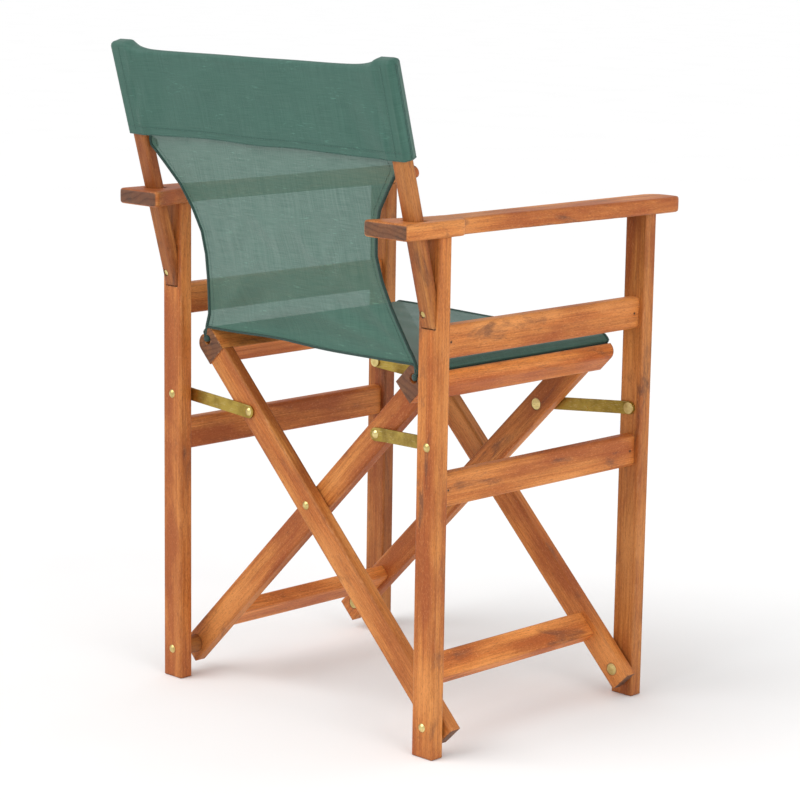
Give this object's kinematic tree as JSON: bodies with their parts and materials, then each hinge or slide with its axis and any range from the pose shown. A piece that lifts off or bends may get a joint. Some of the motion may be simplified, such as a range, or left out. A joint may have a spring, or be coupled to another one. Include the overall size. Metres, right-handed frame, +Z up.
{
  "type": "folding chair",
  "caption": "Folding wooden armchair with a fabric seat and back: crossed frames, side frames with armrests, leaning back stiles and flat metal folding links.",
  "frame": {"origin": "on the floor, midway between the four posts", "axes": "+Z up, the sitter faces -Y, +X to the sitter's left"},
  "size_m": [0.514, 0.5222, 0.839],
  "materials": {
    "wood": "oiled reddish hardwood, satin",
    "dark_wood": "dark hardwood, satin",
    "brass": "dull brass plating",
    "nails": "dull, darkened",
    "fabric": "woven green outdoor mesh, matte"
  },
  "bodies": {
    "right_side": {"right_rear_post": "wood", "right_front_post": "wood", "right_armrest": "wood", "right_upper_rail": "wood", "right_lower_rail": "wood", "right_back_stile": "wood", "right_stile_peg": "wood", "right_stile_screw": "brass", "right_pivot_rivets": "brass", "right_rail_nails": "nails", "back_panel": "fabric", "back_hood": "fabric"},
    "outer_frame": {"outer_rear_bar": "wood", "outer_front_bar": "wood", "left_seat_rail": "wood", "outer_stretcher": "wood", "crossing_rivets": "brass", "outer_link_rivets": "brass", "left_hem_rod": "dark_wood", "seat_sling": "fabric"},
    "inner_frame": {"inner_rear_bar": "wood", "inner_front_bar": "wood", "right_seat_rail": "wood", "inner_stretcher": "wood", "inner_link_rivets": "brass", "right_hem_rod": "dark_wood"},
    "left_side": {"left_rear_post": "wood", "left_front_post": "wood", "left_armrest": "wood", "left_upper_rail": "wood", "left_lower_rail": "wood", "left_back_stile": "wood", "left_stile_peg": "wood", "left_stile_screw": "brass", "left_pivot_rivets": "brass", "left_rail_nails": "nails", "left_spacers": "dark_wood"},
    "right_rear_link_arm": {"right_rear_link": "brass", "right_rear_link_rivet": "brass"},
    "right_front_link_arm": {"right_front_link": "brass", "right_front_link_rivet": "brass"},
    "left_rear_link_arm": {"left_rear_link": "brass", "left_rear_link_rivet": "brass"},
    "left_front_link_arm": {"left_front_link": "brass", "left_front_link_rivet": "brass"}
  },
  "joints": [
    {"name": "fold", "type": "hinge", "parent": "right_side", "child": "outer_frame", "pos_m": [-0.228, 0, 0.038], "axis": [0, -1, 0], "range_deg": [0, 32.5], "deforming": ["seat_sling", "back_panel", "back_hood"]},
    {"name": "cross", "type": "hinge", "parent": "outer_frame", "child": "inner_frame", "pos_m": [0, 0, 0.268], "axis": [0, 1, 0], "range_deg": [0, 65]},
    {"name": "left_foot", "type": "hinge", "parent": "inner_frame", "child": "left_side", "pos_m": [0.228, 0, 0.038], "axis": [0, -1, 0], "range_deg": [0, 32.5]},
    {"name": "right_rear_link_turn", "type": "hinge", "parent": "right_side", "child": "right_rear_link_arm", "pos_m": [-0.228, 0.17675, 0.3805], "axis": [0, -1, 0], "range_deg": [0, 76.2]},
    {"name": "right_front_link_turn", "type": "hinge", "parent": "right_side", "child": "right_front_link_arm", "pos_m": [-0.228, -0.17675, 0.3805], "axis": [0, -1, 0], "range_deg": [0, 76.2]},
    {"name": "left_rear_link_turn", "type": "hinge", "parent": "left_side", "child": "left_rear_link_arm", "pos_m": [0.228, 0.17675, 0.3805], "axis": [0, 1, 0], "range_deg": [0, 76.2]},
    {"name": "left_front_link_turn", "type": "hinge", "parent": "left_side", "child": "left_front_link_arm", "pos_m": [0.228, -0.17675, 0.3805], "axis": [0, 1, 0], "range_deg": [0, 76.2]}
  ],
  "couplings": [
    {"joint": "cross", "follows": "fold", "ratio": 2},
    {"joint": "left_foot", "follows": "fold", "ratio": 1},
    {"joint": "right_rear_link_turn", "follows": "fold", "ratio": 2.3394},
    {"joint": "right_front_link_turn", "follows": "fold", "ratio": 2.3394},
    {"joint": "left_rear_link_turn", "follows": "fold", "ratio": 2.3394},
    {"joint": "left_front_link_turn", "follows": "fold", "ratio": 2.3394}
  ]
}
